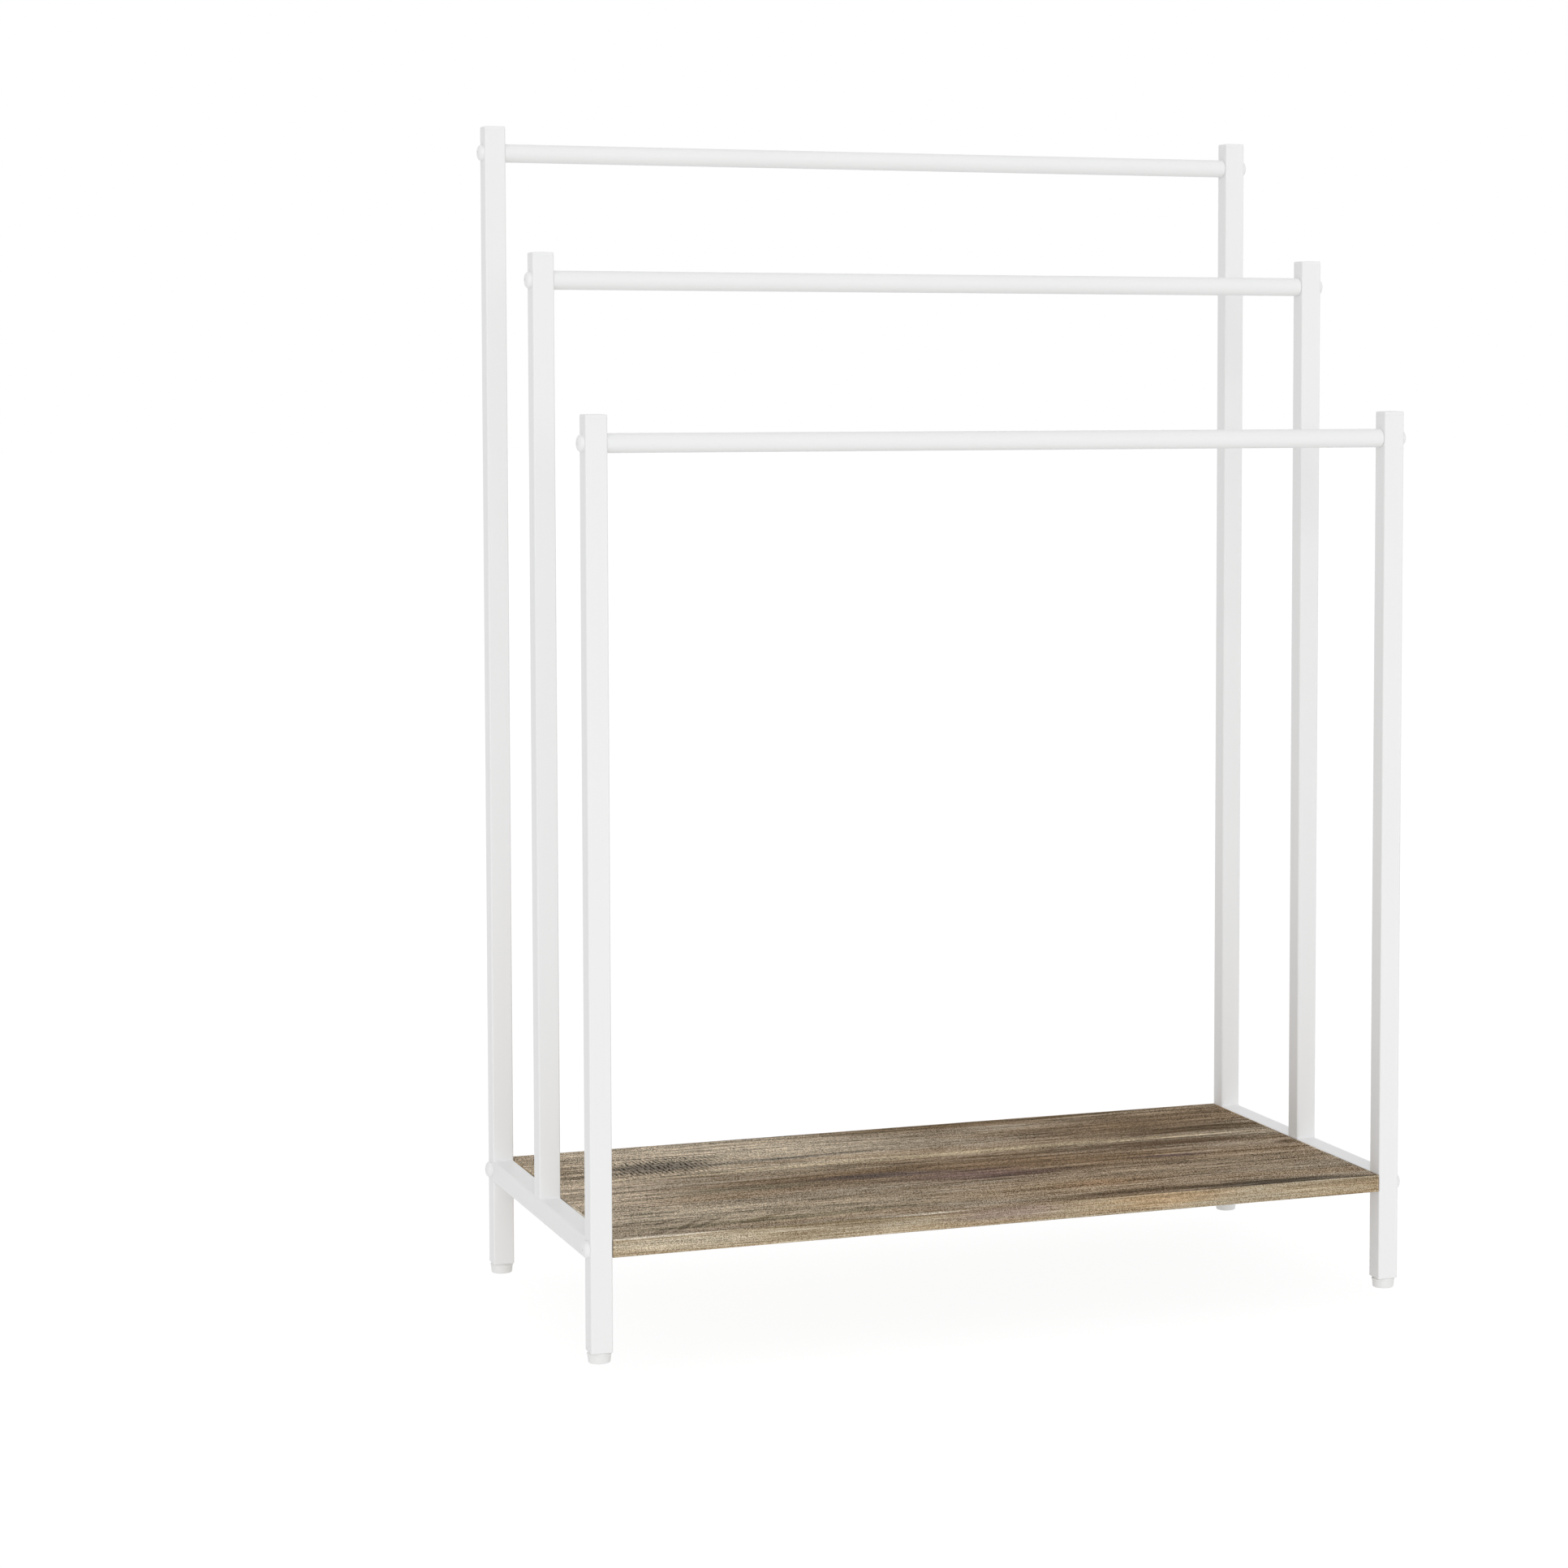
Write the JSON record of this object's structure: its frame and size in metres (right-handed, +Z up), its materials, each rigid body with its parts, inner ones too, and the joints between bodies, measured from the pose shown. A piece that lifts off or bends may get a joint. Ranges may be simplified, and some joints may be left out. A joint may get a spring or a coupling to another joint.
{
  "type": "towel rack with shelf",
  "caption": "Free-standing stepped towel rack of white square tube, with round crossbars, a low wood-grain shelf and screw-in round feet.",
  "frame": {"origin": "centre of the footprint on the floor, under the soles of the feet", "axes": "+Z up, +Y from the short front posts to the tall rear posts, +X to the right seen from the front"},
  "size_m": [0.6, 0.2814, 0.825],
  "materials": {
    "frame_paint": "white powder coat, satin",
    "bolt_lacquer": "white lacquer, semi-gloss",
    "cap_plastic": "white moulded plastic",
    "insert_plastic": "white moulded plastic",
    "foot_plastic": "white moulded plastic",
    "shelf_laminate": "weathered oak-grain laminate on board",
    "shelf_edge": "lighter oak-grain edge band",
    "zinc_steel": "zinc-plated steel"
  },
  "bodies": {
    "frame": {"rear_post_left": "frame_paint", "rear_post_right": "frame_paint", "middle_post_left": "frame_paint", "middle_post_right": "frame_paint", "front_post_left": "frame_paint", "front_post_right": "frame_paint", "side_rail_left": "frame_paint", "side_rail_right": "frame_paint", "rear_cap_left": "cap_plastic", "rear_cap_right": "cap_plastic", "middle_cap_left": "cap_plastic", "middle_cap_right": "cap_plastic", "front_cap_left": "cap_plastic", "front_cap_right": "cap_plastic", "rear_bar": "frame_paint", "middle_bar": "frame_paint", "front_bar": "frame_paint", "rear_bar_plug_left": "insert_plastic", "rear_bar_plug_right": "insert_plastic", "middle_bar_plug_left": "insert_plastic", "middle_bar_plug_right": "insert_plastic", "front_bar_plug_left": "insert_plastic", "front_bar_plug_right": "insert_plastic", "rear_bar_bolt_left": "bolt_lacquer", "rear_bar_bolt_right": "bolt_lacquer", "middle_bar_bolt_left": "bolt_lacquer", "middle_bar_bolt_right": "bolt_lacquer", "front_bar_bolt_left": "bolt_lacquer", "front_bar_bolt_right": "bolt_lacquer", "shelf_board": "shelf_laminate", "shelf_band_front": "shelf_edge", "shelf_band_rear": "shelf_edge", "shelf_band_left": "shelf_edge", "shelf_band_right": "shelf_edge", "shelf_insert_front_left": "zinc_steel", "shelf_insert_front_right": "zinc_steel", "shelf_insert_rear_left": "zinc_steel", "shelf_insert_rear_right": "zinc_steel", "shelf_bolt_front_left": "bolt_lacquer", "shelf_bolt_front_right": "bolt_lacquer", "shelf_bolt_rear_left": "bolt_lacquer", "shelf_bolt_rear_right": "bolt_lacquer", "foot_insert_front_left": "insert_plastic", "foot_insert_front_right": "insert_plastic", "foot_insert_rear_left": "insert_plastic", "foot_insert_rear_right": "insert_plastic"},
    "foot_front_left": {"foot_pad_front_left": "foot_plastic", "foot_stud_front_left": "zinc_steel"},
    "foot_front_right": {"foot_pad_front_right": "foot_plastic", "foot_stud_front_right": "zinc_steel"},
    "foot_rear_left": {"foot_pad_rear_left": "foot_plastic", "foot_stud_rear_left": "zinc_steel"},
    "foot_rear_right": {"foot_pad_rear_right": "foot_plastic", "foot_stud_rear_right": "zinc_steel"}
  },
  "joints": [
    {"name": "foot_front_left_screw", "type": "slide", "parent": "frame", "child": "foot_front_left", "axis": [0, 0, -1], "range_m": [0, 0.008]},
    {"name": "foot_front_right_screw", "type": "slide", "parent": "frame", "child": "foot_front_right", "axis": [0, 0, -1], "range_m": [0, 0.008]},
    {"name": "foot_rear_left_screw", "type": "slide", "parent": "frame", "child": "foot_rear_left", "axis": [0, 0, -1], "range_m": [0, 0.008]},
    {"name": "foot_rear_right_screw", "type": "slide", "parent": "frame", "child": "foot_rear_right", "axis": [0, 0, -1], "range_m": [0, 0.008]}
  ]
}
